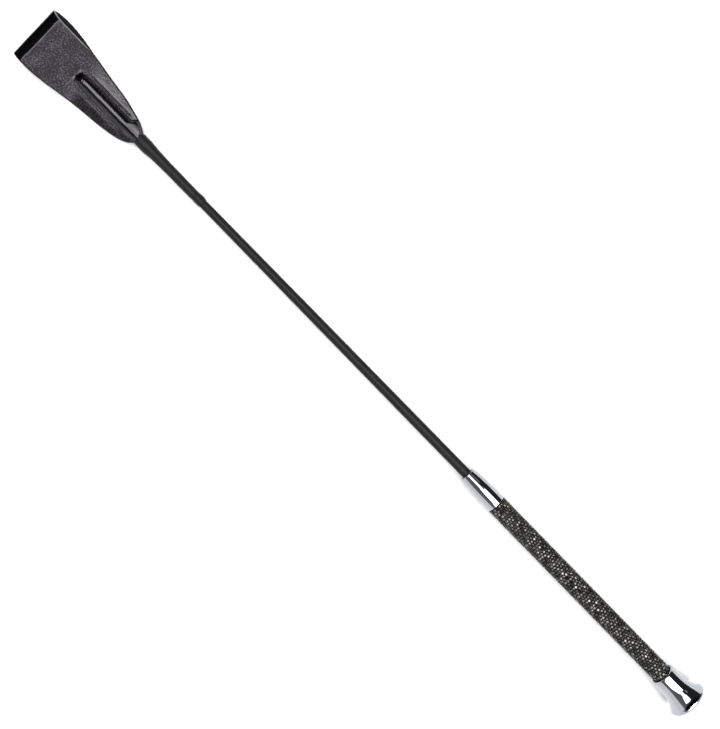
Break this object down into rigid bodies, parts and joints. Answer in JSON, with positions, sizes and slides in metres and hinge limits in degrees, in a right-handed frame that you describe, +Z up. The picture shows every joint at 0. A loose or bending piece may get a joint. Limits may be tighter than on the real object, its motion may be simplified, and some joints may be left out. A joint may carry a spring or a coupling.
{
  "type": "riding crop",
  "caption": "Short riding crop: folded leather flap on a braided tapered shaft, polished ferrule, grip set with small dark stones and a flared polished end cap.",
  "frame": {"origin": "Centre of the crop's bounding box in X and Y, on the flat surface that it lies on.", "axes": "+X along the crop, from the flap to the end cap; +Z up, away from the surface, square to the flap; +Y across the flap."},
  "size_m": [0.65, 0.043, 0.0287],
  "materials": {
    "black_leather": "smooth satin black leather",
    "black_thread": "waxed black thread",
    "black_braid": "fine braided black nylon",
    "glass_fibre_rod": "pultruded glass fibre",
    "black_rubber": "moulded rubber",
    "polished_chrome": "mirror-polished chrome plate",
    "steel_tube": "drawn steel",
    "black_plastic": "moulded plastic",
    "black_fabric_backing": "woven fabric backing",
    "dark_faceted_stones": "small dark faceted stones in rows"
  },
  "bodies": {
    "crop": {"flap_upper_leaf": "black_leather", "flap_lower_leaf": "black_leather", "seam_top_thread": "black_thread", "seam_bobbin_thread": "black_thread", "rod_core": "glass_fibre_rod", "rod_tip_cap": "black_rubber", "shaft_cover": "black_braid", "neck_binding": "black_thread", "binding_end_ring": "black_thread", "ferrule": "polished_chrome", "ferrule_bush": "black_plastic", "handle_tube": "steel_tube", "front_spacer": "black_plastic", "rear_spacer": "black_plastic", "grip_backing": "black_fabric_backing", "grip_stone_sleeve": "dark_faceted_stones", "end_cap": "polished_chrome", "cap_bush": "black_plastic"},
    "flap": {"flap_loop": "black_leather"}
  },
  "joints": [
    {"name": "flap_flex", "type": "hinge", "parent": "crop", "child": "flap", "pos_m": [-0.28596, 0, 0.005], "axis": [0, 1, 0], "range_deg": [-75, 75], "stiffness_Nm_per_rad": 0.2}
  ]
}
